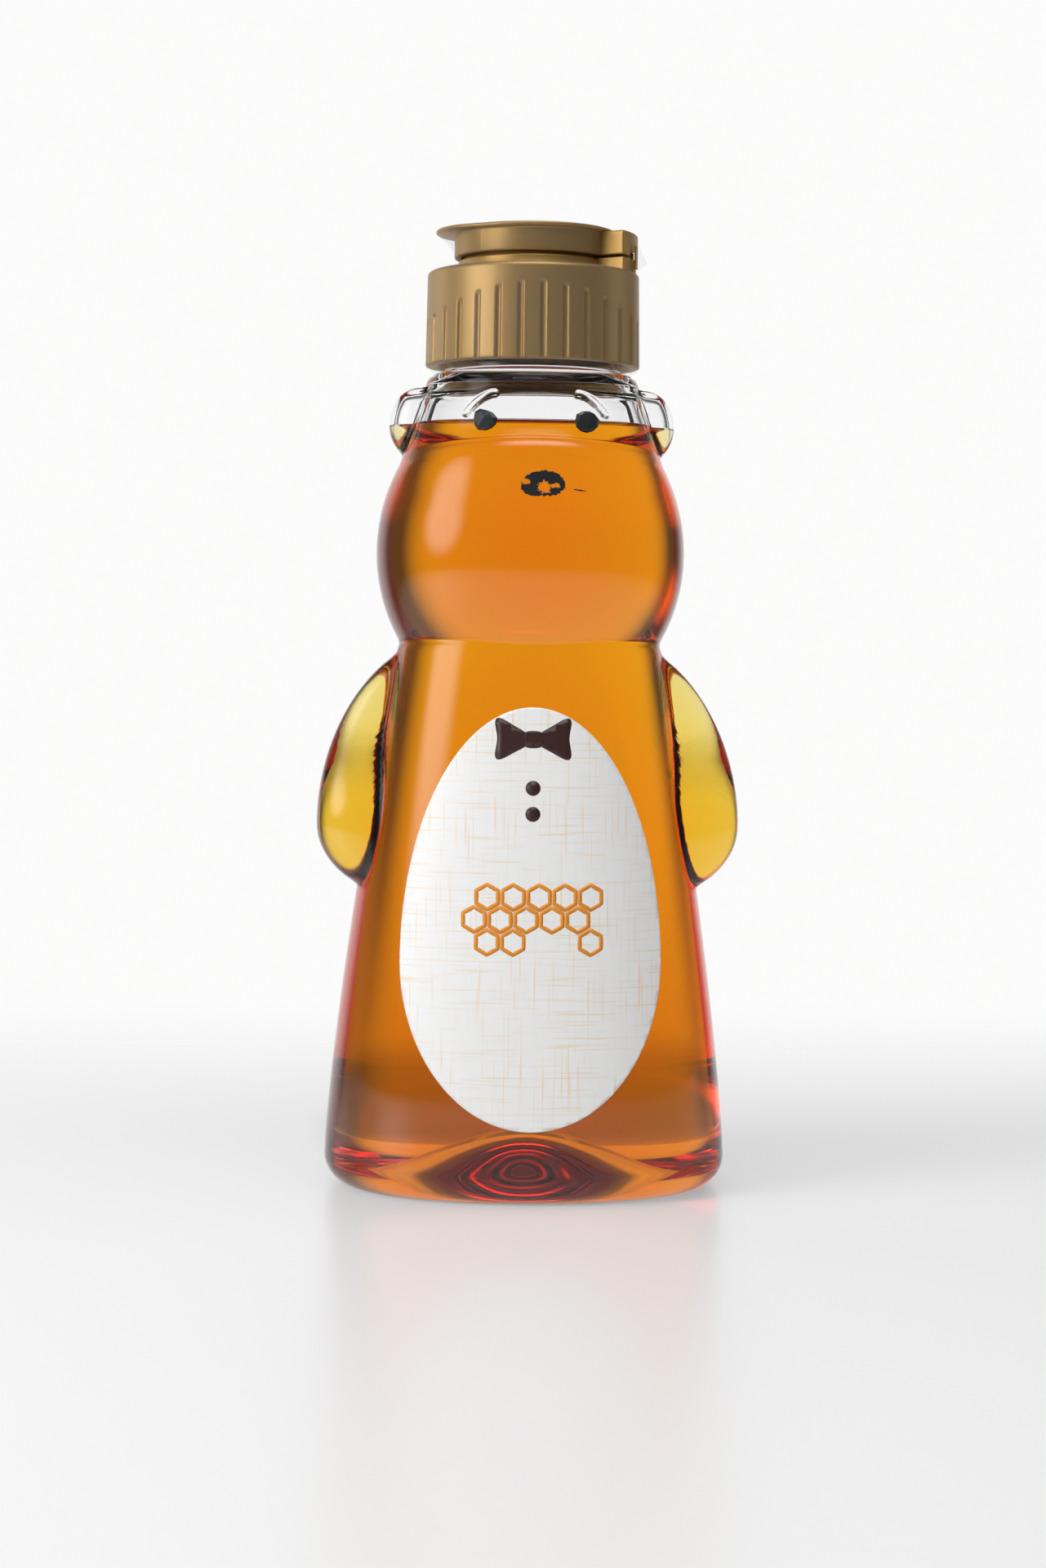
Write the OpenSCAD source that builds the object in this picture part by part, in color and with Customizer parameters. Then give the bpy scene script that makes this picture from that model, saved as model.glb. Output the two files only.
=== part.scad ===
// Honey bear bottle: a blow-moulded clear bottle full of honey, with a screw cap that has a flip lid.
// Origin: middle of the base, on the surface that the bottle stands on. The bear faces -Y.
// The cap's hinge is on +X and the lid's thumb lip on -X.

/* [Body] */
// Width of the base at its widest
foot_w = 80.8; // [76:0.2:84]
// Depth of the base at its deepest
foot_d = 60.6; // [56:0.2:64]
// Radius of the rounded edge under the body
foot_round = 6; // [4:0.5:8]
// Height of the dome pushed up into the base
push_up = 10; // [4:0.5:14]
// Height of the crease between head and chest
crease_z = 108.9; // [104:0.1:112]
// Width at the crease
crease_w = 52.3; // [50:0.1:54]
// Wall thickness of the blown body
wall = 1.1; // [0.8:0.1:1.4]

/* [Head] */
// Width of the head at its widest
head_w = 61.8; // [58:0.2:64]
// Depth of the head at its deepest
head_d = 52; // [48:0.2:56]
// Height of the fold between muzzle and face
fold_z = 144.3; // [142:0.1:146]
// How much higher the fold runs at the front
fold_rise = 2.4; // [0:0.1:4]
// Height of the shoulder's flat top
shoulder_z = 162.4; // [160:0.1:164]

/* [Arms and ears] */
// Width over both arms
arms_w = 85; // [80:0.2:88]
// Height at which the arms reach out furthest
arm_z = 72.5; // [68:0.5:78]
// Width over both ears
ears_w = 57.2; // [54:0.2:60]
// Height of the middle of an ear
ear_z = 152.3; // [150:0.1:154]

/* [Face and label] */
// Distance between the eyes
eye_gap = 19.6; // [16:0.2:24]
// Diameter of an eye
eye_d = 4.6; // [3:0.1:6]
// Width of the label
label_w = 50.8; // [40:0.2:52]
// Height of the label
label_h = 81.6; // [70:0.2:84]

/* [Contents] */
// Level of the honey
honey_z = 151.2; // [149:0.1:153]

/* [Cap] */
// Outer diameter of the collar at its lower edge
cap_d = 42.8; // [42:0.1:44]
// Height of the collar
collar_h = 18.6; // [17:0.1:20]
// Number of grip grooves round the collar
grooves = 30; // [20:1:36]
// Diameter of the spout's hole
orifice_d = 4; // [2:0.5:6]

/* [Lid] */
// Outer diameter of the lid's skirt
lid_skirt_d = 31.2; // [30:0.1:32]
// Diameter of the lid's top disc
lid_disc_d = 32.8; // [32:0.1:34]
// Reach of the thumb lip from the cap's axis
lip_reach = 19.5; // [18:0.1:20.5]

/* [Hidden] */
$fn = 96;

// Seams in the loft: points round one ring, crowded towards the arms and ears
ring_points = 48;
crowding = 0.25;

// Roundness of the sections, 2 being an ellipse
torso_power = 2.3;
head_power = 2.1;
crease_d = 42;
fold_w = 52.8;
fold_d = 45;
face_top_w = 42.8;
face_top_d = 41;
face_top_z = 159.5;
head_z = 126.6;
head_arc_r = 35;
muzzle_out = 1.2;
muzzle_below = 8;
muzzle_above = 2.7;
shoulder_round = shoulder_z - face_top_z;

// Neck finish
neck_r = 17.6;
bore_r = 15.6;
neck_step = 0.4;
land_z = 180;
bead_r = 18.6;

// Arms: root, reach and the heights over and under the widest place
arm_root = 24;
arm_rise = 35;
arm_drop = 14.5;
arm_thin = 6.5;
arm_thick = 13;
arm_power = 4;
ear_root = 22.6;
ear_half_h = 7.2;
ear_thick = 6.5;
ear_power = 3;

// Eyebrows: from the inner end over the eye, down to the outer end
brow_x = 8.2;
brow_reach = 5.4;
brow_top = 157.1;
brow_fall = 3.8;
brow_r = 0.6;

// Walls: the shoulder and the base stay thicker than the sides
shoulder_wall = 1.9;
base_wall = 1.5;
honey_gap = 0.05;
skin_gap = 0.16;

// Cap
collar_z = 163.9;
collar_top = collar_z + collar_h;
collar_r = cap_d / 2;
collar_top_r = collar_r - 0.3;
collar_bore = 19.1;
deck_t = 1.5;
liner_t = collar_top - deck_t - land_z;
ring_r = 15;
ring_top = 184.8;
snap_r = 14.1;
snap_top = 186;
well_r = 12.9;
spout_r = 6;
spout_tip_r = 3.6;
spout_top = 187.4;
hinge_r = 20.8;
hinge_turn = 35;
strap_y = 6.05;
strap_w = 1.9;
strap_t = 0.3;
recess_w = 10.2;
recess_r = 19.2;
window_w = 18.8;
window_top = 187.7;
groove_w = 1.1;
groove_depth = 0.55;
groove_top = 178.7;
groove_arch = 6.2;

// Lid
lid_z = ring_top + 0.5;
lid_top = 190.8;
lid_disc_t = 0.9;
lid_wall = 1.2;
lid_block_top = 190;
lip_r = 13;
plug_r = orifice_d / 2 - 0.25;

// Film
film_t = 0.12;
film_gap = 0.12;
film_turn_z = 162.5;
film_turn_r = 20;

function steps(from, to, count) = [for (i = [0:count - 1]) from + (to - from) * i / count];
function mix(a, b, t) = a + (b - a) * t;
function ease(t) = let (c = min(1, max(0, t))) c * c * (3 - 2 * c);

// The larger of two radii, with a soft valley of width k where they cross
function soft_max(p, q, k) = max(p, q) + pow(max(k - abs(p - q), 0), 2) / (4 * k);

// Radius of an oval with half sizes a and b in the direction t
function oval_r(a, b, power, t) =
  pow(pow(abs(cos(t)) / a, power) + pow(abs(sin(t)) / b, power), -1 / power);

// Half sizes of the foot, the chest, the head and the face at height z
function foot_inset(z) = z < foot_round ? foot_round - sqrt(pow(foot_round, 2) - pow(foot_round - z, 2)) : 0;
function chest_taper(z) = pow(max(0, (z - foot_round) / (crease_z - foot_round)), 1.3);
function chest_half(z, foot, crease) = mix(foot, crease, chest_taper(z)) / 2 - foot_inset(z);
function head_bulge(z) = sqrt(pow(head_arc_r, 2) - pow(z - head_z, 2)) - head_arc_r;
function head_half(z, size, low, high) =
  let (edge = z < head_z ? low : high, edge_z = z < head_z ? crease_z : fold_z)
  size / 2 + head_bulge(z) * (size - edge) / 2 / -head_bulge(edge_z);
function face_half(z, low, high) =
  z < face_top_z
    ? mix(low, high, (z - fold_z) / (face_top_z - fold_z)) / 2
    : high / 2 - shoulder_round + sqrt(max(0, pow(shoulder_round, 2) - pow(z - face_top_z, 2)));
// How far the muzzle's upper edge stands out over the face
function muzzle(z) =
  muzzle_out * (z < fold_z ? ease(1 + (z - fold_z) / muzzle_below) : 1 - ease((z - fold_z) / muzzle_above));
function half_w(z) =
  z < crease_z ? chest_half(z, foot_w, crease_w)
    : z < fold_z ? head_half(z, head_w, crease_w, fold_w)
    : face_half(z, fold_w, face_top_w);
function half_d(z) =
  z < crease_z ? chest_half(z, foot_d, crease_d)
    : z < fold_z ? head_half(z, head_d, crease_d, fold_d) + muzzle(z)
    : face_half(z, fold_d, face_top_d) + muzzle(z);
function power_at(z) = mix(z < crease_z ? torso_power : head_power, 2, ease((z - fold_z) / (shoulder_z - fold_z)));

// How far an arm and an ear reach at height z, 0 where there is none
function arm_half(z) =
  let (u = (z - arm_z) / (z < arm_z ? arm_drop : arm_rise))
  abs(u) >= 1 ? 0 : arm_root + (arms_w / 2 - arm_root) * pow(1 - u * u, z < arm_z ? 0.5 : 0.7);
function arm_deep(z) = mix(arm_thin, arm_thick, ease((95 - z) / 22));
function ear_half(z) =
  let (u = (z - ear_z) / ear_half_h)
  abs(u) >= 1 ? 0 : ear_root + (ears_w / 2 - ear_root) * sqrt(1 - u * u);

// Radius of the blown shape, drawn in by the inset, in the direction t
function lobe_r(reach, deep, power, inset, t) =
  reach - inset <= 0 ? 0 : oval_r(reach - inset, deep - inset, power, t);
function skin_r(z, t, inset) =
  let (
    body = oval_r(half_w(z) - inset, half_d(z) - inset, power_at(z), t),
    arm = lobe_r(arm_half(z), arm_deep(z), arm_power, inset, t),
    ear = lobe_r(ear_half(z), ear_thick, ear_power, inset, t)
  )
  soft_max(soft_max(body, arm, 1.2), ear, 1);

// Wall thickness at height z, and the lift of the muzzle's fold at the front
function wall_at(z) = mix(wall, shoulder_wall, ease((z - 138) / 20));
function fold_lift(z) = abs(z - fold_z) < 8 ? fold_rise * (1 + cos(180 * (z - fold_z) / 8)) / 2 : 0;
function ring_angle(i) = let (t = 360 * i / ring_points) t - crowding * sin(2 * t) * 180 / PI;

// One ring of points round the shape at height z
function ring(z, inset) =
  [
    for (i = [0:ring_points - 1])
      let (t = ring_angle(i), r = skin_r(z, t, inset))
      [r * cos(t), r * sin(t), z + fold_lift(z) * pow(max(0, -sin(t)), 2)]
  ];
// One ring on the base, the foot's oval scaled by s and lying at height z
function base_ring(s, inset, z) =
  [
    for (i = [0:ring_points - 1])
      let (t = ring_angle(i), r = s * oval_r(foot_w / 2 - inset, foot_d / 2 - inset, torso_power, t))
      [r * cos(t), r * sin(t), z]
  ];
function round_ring(r, z) = [for (i = [0:ring_points - 1]) [r * cos(ring_angle(i)), r * sin(ring_angle(i)), z]];
function dome_z(s) = push_up * (1 + cos(180 * s)) / 2;

// Heights of the rings: closer together where the form turns
dome_steps = [0.15, 0.4, 0.6, 0.8, 1];
body_heights = concat(
  steps(foot_round, 58, 4), steps(58, 70, 5), steps(70, 98, 5), steps(98, crease_z, 3),
  steps(crease_z, head_z, 4), steps(head_z, fold_z, 5), steps(fold_z, honey_z, 5), steps(honey_z, 157, 2),
  steps(157, shoulder_z, 6)
);
foot_heights = [for (a = [0, 35, 65]) foot_round * (1 - cos(a))];
inner_top = shoulder_z - shoulder_wall;
stand_w = 2.5;
dome_inset = foot_round + stand_w;

outer_rings = concat(
  [for (s = dome_steps) base_ring(s, dome_inset, dome_z(s))],
  [for (z = concat(foot_heights, body_heights)) ring(z, 0)],
  [ring(shoulder_z - 0.02, 0), round_ring(bead_r, shoulder_z), round_ring(bore_r - neck_step, shoulder_z)]
);
inner_heights = [for (z = concat(steps(foot_round + base_wall, 58, 4), [for (h = body_heights) if (h >= 58 && h < 158) h])) z];
inner_rings = concat(
  [for (s = dome_steps) base_ring(s * 0.98, dome_inset, dome_z(s) + base_wall)],
  [base_ring(1, foot_round, base_wall + 0.6), base_ring(1, 2.6, base_wall + 2.2)],
  [for (z = inner_heights) ring(z, wall_at(z))]
);
mouth_rings = [
  round_ring(18, inner_top - 1.9), round_ring(17.4, inner_top - 1.1), round_ring(16.6, inner_top - 0.3),
  round_ring(bore_r - neck_step, inner_top + 0.7)
];

// A closed solid over rings that run from one end face to the other. Each step between two rings
// is cut into two triangles, along the other diagonal where the solid fills a hollow one.
module loft(rings, filling = false) {
  last = len(rings) - 1;
  skin = [
    for (j = [0:last - 1], i = [0:ring_points - 1])
      let (
        k = (i + 1) % ring_points, a = j * ring_points + i, b = a + ring_points,
        c = (j + 1) * ring_points + k, d = j * ring_points + k
      )
      each filling ? [[a, b, d], [b, c, d]] : [[a, b, c], [a, c, d]]
  ];
  first_face = [for (i = [0:ring_points - 1]) i];
  last_face = [for (i = [0:ring_points - 1]) (last + 1) * ring_points - 1 - i];
  polyhedron(points = [for (r = rings) each r], faces = concat([first_face, last_face], skin), convexity = 8);
}

function reversed(list) = [for (i = [len(list) - 1:-1:0]) list[i]];

// Raised eyebrow: a round ridge along an arc over the eye, half sunk in the skin
module brow() {
  function spot(t) = front_point(brow_x + brow_reach * t, brow_top - brow_fall * pow(max(0, t), 1.8), -0.1);
  function rib_ring(t) =
    let (
      here = spot(t), ahead = spot(t + 0.02) - spot(t - 0.02), along = ahead / norm(ahead),
      out = front_normal(here[0], here[2]), across = cross(along, out)
    )
    [for (a = [30:60:359]) here + brow_r * (cos(a) * out + sin(a) * across)];
  rings = [for (t = [0:1 / 8:1]) rib_ring(t)];
  quads = [
    for (j = [0:len(rings) - 2], i = [0:5])
      let (k = (i + 1) % 6)
      [j * 6 + i, (j + 1) * 6 + i, (j + 1) * 6 + k, j * 6 + k]
  ];
  ends = [[for (i = [0:5]) i], [for (i = [0:5]) len(rings) * 6 - 1 - i]];
  polyhedron(points = [for (r = rings) each r], faces = concat(ends, quads), convexity = 4);
}

module neck() {
  rotate_extrude()
    polygon([
      [bore_r, shoulder_z - 1], [neck_r, shoulder_z - 1], [neck_r, land_z - 0.8],
      [neck_r - 0.5, land_z], [bore_r + 0.5, land_z], [bore_r, land_z - 0.5]
    ]);
}

module bottle() {
  color([0.93, 0.95, 0.96, 0.35])
    union() {
      loft(concat(outer_rings, reversed(mouth_rings), reversed(inner_rings)));
      neck();
      brow();
      mirror([1, 0, 0])
        brow();
    }
}

module honey() {
  wetted = [for (z = inner_heights) if (z <= honey_z) z];
  rings = concat(
    [for (s = dome_steps) base_ring(s * 0.98, dome_inset, dome_z(s) + base_wall + honey_gap)],
    [base_ring(1, foot_round, base_wall + 0.6 + honey_gap), base_ring(1, 2.6 + honey_gap, base_wall + 2.2)],
    [for (z = wetted) ring(z, wall_at(z) + honey_gap)]
  );
  color([0.87, 0.49, 0.02])
    loft(rings, filling = true);
}

// Front of the bottle's skin at x and z
function front_y(x, z) =
  let (level = z - fold_lift(z), a = half_w(level), b = half_d(level), p = power_at(level))
  -b * pow(max(0, 1 - pow(abs(x) / a, p)), 1 / p);
function front_normal(x, z) =
  let (
    across = (front_y(x + 0.2, z) - front_y(x - 0.2, z)) / 0.4,
    up = (front_y(x, z + 0.2) - front_y(x, z - 0.2)) / 0.4,
    size = sqrt(across * across + 1 + up * up)
  )
  [across / size, -1 / size, up / size];
function front_point(x, z, off) = [x, front_y(x, z), z] + off * front_normal(x, z);

// A patch that lies on the front: an oval of half width w, half heights up and down, crowned by crown
module front_patch(x, z, w, up, down, thick, crown, rows, columns) {
  tip = 86;
  function row_angle(j) = mix(-tip, tip, j / rows);
  function place(i, j, off) =
    let (a = row_angle(j), u = 2 * i / columns - 1)
    front_point(x + w * cos(a) * u, z + (a < 0 ? down : up) * sin(a), off);
  function bulge(i, j) = thick + crown * cos(row_angle(j)) * sqrt(1 - pow(2 * i / columns - 1, 2));
  count = columns + 1;
  back = [for (j = [0:rows], i = [0:columns]) place(i, j, skin_gap)];
  face = [for (j = [0:rows], i = [0:columns]) place(i, j, skin_gap + bulge(i, j))];
  offset_face = len(back);
  back_quads = [
    for (j = [0:rows - 1], i = [0:columns - 1])
      [j * count + i, j * count + i + 1, (j + 1) * count + i + 1, (j + 1) * count + i]
  ];
  edge = concat(
    [for (i = [0:columns]) i],
    [for (j = [1:rows]) j * count + columns],
    [for (i = [columns - 1:-1:0]) rows * count + i],
    [for (j = [rows - 1:-1:1]) j * count]
  );
  sides = [
    for (k = [0:len(edge) - 1])
      let (p = edge[k], q = edge[(k + 1) % len(edge)])
      [q, p, p + offset_face, q + offset_face]
  ];
  face_quads = [for (f = back_quads) [for (k = [3:-1:0]) f[k] + offset_face]];
  polyhedron(points = concat(back, face), faces = concat(back_quads, sides, face_quads), convexity = 4);
}

module eye(side) {
  color([0.05, 0.05, 0.06])
    front_patch(side * eye_gap / 2, 151.9, eye_d / 2, eye_d / 2, eye_d / 2, 0.35, 0.6, 6, 6);
}

module eye_left() {
  eye(-1);
}

module eye_right() {
  eye(1);
}

module nose() {
  color([0.06, 0.05, 0.05])
    front_patch(1.2, 139.6, 4.2, 2.6, 2.6, 0.12, 0, 6, 6);
}

module label() {
  color([0.96, 0.95, 0.93])
    front_patch(0, 14.8 + label_h * 0.395, label_w / 2, label_h * 0.605, label_h * 0.395, 0.12, 0, 16, 12);
}

module cap_liner() {
  color([0.95, 0.95, 0.94])
    translate([0, 0, land_z])
      difference() {
        cylinder(r = collar_bore - 0.2, h = liner_t);
        translate([0, 0, -1])
          cylinder(r = bore_r + 0.2, h = liner_t + 2);
      }
}

// The part of a hinge half that stands between the skirt and the collar's outline
module hinge_block(from_z, to_z, inner_r) {
  intersection() {
    difference() {
      translate([0, 0, from_z])
        cylinder(r = hinge_r, h = to_z - from_z);
      translate([0, 0, from_z - 1])
        cylinder(r = inner_r, h = to_z - from_z + 2);
    }
    translate([0, 0, from_z - 1])
      linear_extrude(to_z - from_z + 2)
        hinge_sector(0);
  }
}

// The hinge's share of the circle, seen from above: its two side faces point at the cap's axis
module hinge_sector(margin) {
  reach = 2 * hinge_r;
  translate([-margin / sin(hinge_turn), 0])
    polygon([[0, 0], [reach, -reach * tan(hinge_turn)], [reach, reach * tan(hinge_turn)]]);
}

module collar_groove(turn) {
  top = groove_top - groove_arch * pow(cos(turn), 2);
  rotate([0, 0, turn])
    translate([collar_top_r - groove_depth, -groove_w / 2, collar_z - 1])
      cube([2, groove_w, top - collar_z + 1]);
}

module cap() {
  color([0.62, 0.51, 0.32])
    difference() {
      union() {
        rotate_extrude()
          polygon([
            [collar_bore, collar_z], [collar_r - 0.3, collar_z], [collar_r, collar_z + 0.3],
            [collar_top_r, collar_top - 0.8], [collar_top_r - 0.2, collar_top - 0.25],
            [collar_top_r - 0.8, collar_top], [ring_r, collar_top], [ring_r, ring_top - 0.4],
            [ring_r - 0.4, ring_top], [snap_r, ring_top], [snap_r, snap_top], [well_r, snap_top],
            [well_r, collar_top - 0.3], [spout_r, collar_top - 0.3], [spout_tip_r, spout_top],
            [orifice_d / 2 + 0.5, spout_top], [orifice_d / 2, spout_top - 0.5],
            [orifice_d / 2, collar_top - 0.3], [spout_r - 1.2, collar_top - deck_t],
            [collar_bore, collar_top - deck_t]
          ]);
        hinge_block(collar_top - 0.5, ring_top, ring_r - 0.5);
      }
      for (k = [0:grooves - 1])
        collar_groove((k + 0.75) * 360 / grooves);
      translate([recess_r, -recess_w / 2, collar_top + 0.4])
        cube([3, recess_w, 3]);
    }
}

module lid() {
  color([0.55, 0.43, 0.26])
    difference() {
      union() {
        rotate_extrude()
          polygon([
            [0, lid_top], [lid_disc_d / 2 - 0.4, lid_top], [lid_disc_d / 2, lid_top - 0.35],
            [lid_disc_d / 2 - 0.15, lid_top - lid_disc_t], [lid_skirt_d / 2, lid_top - lid_disc_t],
            [lid_skirt_d / 2, lid_z + 0.2], [lid_skirt_d / 2 - 0.2, lid_z],
            [lid_skirt_d / 2 - lid_wall, lid_z], [lid_skirt_d / 2 - lid_wall, lid_top - lid_disc_t],
            [plug_r, lid_top - lid_disc_t], [plug_r - 0.2, spout_top - 1], [0, spout_top - 1]
          ]);
        translate([lip_r - lip_reach, 0, 0])
          rotate_extrude()
            polygon([
              [0, lid_top], [lip_r - 0.4, lid_top], [lip_r, lid_top - 0.35],
              [lip_r - 0.5, lid_top - 0.7], [lip_r - 3, lid_top - lid_disc_t], [0, lid_top - lid_disc_t]
            ]);
        hinge_block(lid_z, lid_block_top, lid_skirt_d / 2 - 0.5);
      }
      translate([recess_r - 0.6, -window_w / 2, lid_z - 1])
        cube([4, window_w, window_top - lid_z + 1]);
    }
}

module hinge_strap(side) {
  color([0.6, 0.49, 0.3])
    intersection() {
      translate([0, side * strap_y - strap_w / 2, collar_top + 0.6])
        cube([hinge_r + 2, strap_w, 4.6]);
      difference() {
        cylinder(r = hinge_r + strap_t, h = 200);
        cylinder(r = hinge_r, h = 200);
      }
    }
}

module hinge_strap_front() {
  hinge_strap(-1);
}

module hinge_strap_back() {
  hinge_strap(1);
}

module shrink_band_lower() {
  inner = collar_r + film_gap;
  top_r = collar_top_r + film_gap;
  color([0.95, 0.97, 1, 0.25])
    rotate_extrude()
      polygon([
        [film_turn_r, film_turn_z], [inner, collar_z - 0.1], [inner, collar_z + 0.4],
        [top_r, collar_top - 0.6], [top_r, collar_top + 0.4], [top_r + film_t, collar_top + 0.4],
        [top_r + film_t, collar_top - 0.6], [inner + film_t, collar_z + 0.4],
        [inner + film_t, collar_z - 0.2], [film_turn_r, film_turn_z - film_t]
      ]);
}

// Outline of the lid from above, grown by the margin: disc, thumb lip and hinge
module lid_outline(margin) {
  circle(r = lid_disc_d / 2 + margin, $fn = 36);
  translate([lip_r - lip_reach, 0])
    circle(r = lip_r + margin, $fn = 48);
  intersection() {
    circle(r = hinge_r + strap_t + margin, $fn = 72);
    hinge_sector(margin);
  }
}

module lid_wrap(margin, extra) {
  hull() {
    translate([0, 0, lid_top - 0.6])
      linear_extrude(0.7 + extra)
        lid_outline(margin);
    translate([0, 0, lid_z + 0.1 - extra])
      linear_extrude(0.2) {
        circle(r = lid_skirt_d / 2 + margin, $fn = 48);
        intersection() {
          circle(r = hinge_r + strap_t + margin, $fn = 72);
          hinge_sector(margin);
        }
      }
  }
}

module shrink_band_upper() {
  color([0.95, 0.97, 1, 0.25])
    difference() {
      lid_wrap(film_gap + film_t, 0);
      lid_wrap(film_gap, 0.5);
    }
}

bottle();
honey();
eye_left();
eye_right();
nose();
label();
cap_liner();
cap();
lid();
hinge_strap_front();
hinge_strap_back();
shrink_band_lower();
shrink_band_upper();
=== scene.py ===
import math

import bmesh
import bpy
import numpy as np
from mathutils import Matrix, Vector, noise


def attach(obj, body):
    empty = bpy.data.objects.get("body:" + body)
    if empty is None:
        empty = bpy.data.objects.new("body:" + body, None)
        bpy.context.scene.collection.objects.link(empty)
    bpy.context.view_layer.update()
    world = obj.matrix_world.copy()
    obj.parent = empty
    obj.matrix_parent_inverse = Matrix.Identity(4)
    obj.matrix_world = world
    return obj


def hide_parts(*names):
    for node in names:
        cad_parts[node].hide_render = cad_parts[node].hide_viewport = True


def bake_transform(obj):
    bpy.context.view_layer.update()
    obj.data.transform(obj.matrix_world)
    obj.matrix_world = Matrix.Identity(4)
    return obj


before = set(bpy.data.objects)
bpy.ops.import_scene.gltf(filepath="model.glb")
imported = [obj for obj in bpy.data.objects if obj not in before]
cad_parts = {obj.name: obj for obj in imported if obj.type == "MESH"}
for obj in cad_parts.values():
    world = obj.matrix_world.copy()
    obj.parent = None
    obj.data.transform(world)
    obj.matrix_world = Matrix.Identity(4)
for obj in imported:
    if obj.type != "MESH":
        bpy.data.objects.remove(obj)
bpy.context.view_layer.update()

# Studio: a white table that fades out into an even white backdrop, a large softbox to the left of
# the camera, one overhead, and two side strips. The glass takes dimmer lamps of its own.
MM = 0.001
axis_height = 109 * MM
camera_distance = 564 * MM
camera_yaw = math.radians(2.5)
camera_pitch = math.radians(2.9)
camera_roll = math.radians(-0.66)
focal_in_heights = 3425 / 1920


def wired(tree, kind, feeds=None, **settings):
    """A new node; each feed is a number for an input, or the output that drives it."""
    node = tree.nodes.new(kind)
    for key, value in settings.items():
        setattr(node, key, value)
    for key, feed in (feeds or {}).items():
        if isinstance(feed, bpy.types.NodeSocket):
            tree.links.new(feed, node.inputs[key])
        else:
            node.inputs[key].default_value = feed
    return node


def calculate(tree, operation, *feeds):
    """The output of a math node fed by sockets or plain numbers."""
    return wired(tree, "ShaderNodeMath", dict(enumerate(feeds)), operation=operation).outputs[0]


def smooth_step(tree, value, start, end, low=0.0, high=1.0):
    """An output that runs softly from low, at start, to high, at end."""
    feeds = {"Value": value, "From Min": start, "From Max": end, "To Min": low, "To Max": high}
    return wired(tree, "ShaderNodeMapRange", feeds, interpolation_type="SMOOTHSTEP").outputs["Result"]


def surface_material(name, values):
    """A material with these values on its Principled shader; gives its tree and shader too."""
    material = bpy.data.materials.new(name)
    material.use_nodes = True
    tree = material.node_tree
    shader = tree.nodes["Principled BSDF"]
    for socket, value in values.items():
        shader.inputs[socket].default_value = value
    return material, tree, shader


front_level, back_level = 0.14, 0.97
world = bpy.data.worlds.new("white_surround")
bpy.context.scene.world = world
world.use_nodes = True
sky = world.node_tree
sky.nodes.clear()
sky_way = wired(sky, "ShaderNodeTexCoord").outputs["Generated"]
towards_back = wired(sky, "ShaderNodeVectorMath", {0: sky_way, 1: (-0.06, 0.998, 0)}, operation="DOT_PRODUCT")
sky_level = smooth_step(sky, towards_back.outputs["Value"], 0.62, 0.86, front_level, back_level)
sky_seen = calculate(sky, "MULTIPLY", wired(sky, "ShaderNodeLightPath").outputs["Is Camera Ray"], back_level)
sky_light = wired(sky, "ShaderNodeBackground", {
    "Color": (1.0, 0.998, 0.995, 1), "Strength": calculate(sky, "MAXIMUM", sky_level, sky_seen),
})
wired(sky, "ShaderNodeOutputWorld", {"Surface": sky_light.outputs["Background"]})


def softbox(name, azimuth, distance, height, width, tall, radiance, aim=0.1):
    """A lamp that fades out to its edges; azimuth is counted from the camera's side, to the right."""
    lamp = bpy.data.lights.new(name, "AREA")
    lamp.shape = "RECTANGLE"
    lamp.size = width
    lamp.size_y = tall
    lamp.energy = radiance * math.pi * width * tall
    lamp.use_nodes = True
    tree = lamp.node_tree
    spot = wired(tree, "ShaderNodeNewGeometry").outputs["Parametric"]
    off_middle = wired(tree, "ShaderNodeVectorMath", {0: spot, 1: (0.5, 0.5, 0)}, operation="DISTANCE")
    tree.links.new(
        smooth_step(tree, off_middle.outputs["Value"], 0.5, 0.2), tree.nodes["Emission"].inputs["Strength"]
    )
    place = bpy.data.objects.new(name, lamp)
    turn = math.radians(azimuth)
    place.location = (distance * math.sin(turn), -distance * math.cos(turn), height)
    place.rotation_euler = (Vector((0, 0, aim)) - place.location).to_track_quat("-Z", "Y").to_euler()
    place.visible_camera = False
    bpy.context.collection.objects.link(place)
    return place


all_but_glass = bpy.data.collections.new("all_but_glass")
glass_alone = bpy.data.collections.new("glass_alone")
for lamp in (
    softbox("top_softbox", 0, 0.35, 0.95, 1.1, 0.9, 5.0),
    softbox("key_softbox", -61, 0.80, 0.34, 0.72, 0.66, 5.8),
    softbox("left_strip", -118, 0.60, 0.26, 0.40, 0.60, 1.6),
    softbox("right_strip", 100, 0.60, 0.26, 0.40, 0.60, 0.8),
):
    lamp.light_linking.receiver_collection = all_but_glass
    if lamp.name != "key_softbox":
        lamp.light_linking.blocker_collection = all_but_glass
for lamp in (
    softbox("key_on_glass", -61, 0.80, 0.34, 0.62, 0.60, 2.7),
    softbox("top_on_glass", 10, 0.35, 0.95, 1.0, 0.7, 3.6),
):
    lamp.light_linking.receiver_collection = glass_alone

table_radius = 1.3
bpy.ops.mesh.primitive_circle_add(vertices=96, radius=table_radius, fill_type="NGON")
table = bpy.context.object
table.name = "table"
acrylic, tree, shader = surface_material("white_acrylic", {"Roughness": 0.3, "IOR": 1.35})
place = wired(tree, "ShaderNodeTexCoord").outputs["Object"]
back_fade = smooth_step(tree, wired(tree, "ShaderNodeSeparateXYZ", {"Vector": place}).outputs["Y"], 0.0, 0.28)
distance = wired(tree, "ShaderNodeVectorMath", {0: place}, operation="LENGTH").outputs["Value"]
far_fade = smooth_step(tree, distance, 0.35, 0.95)

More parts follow.
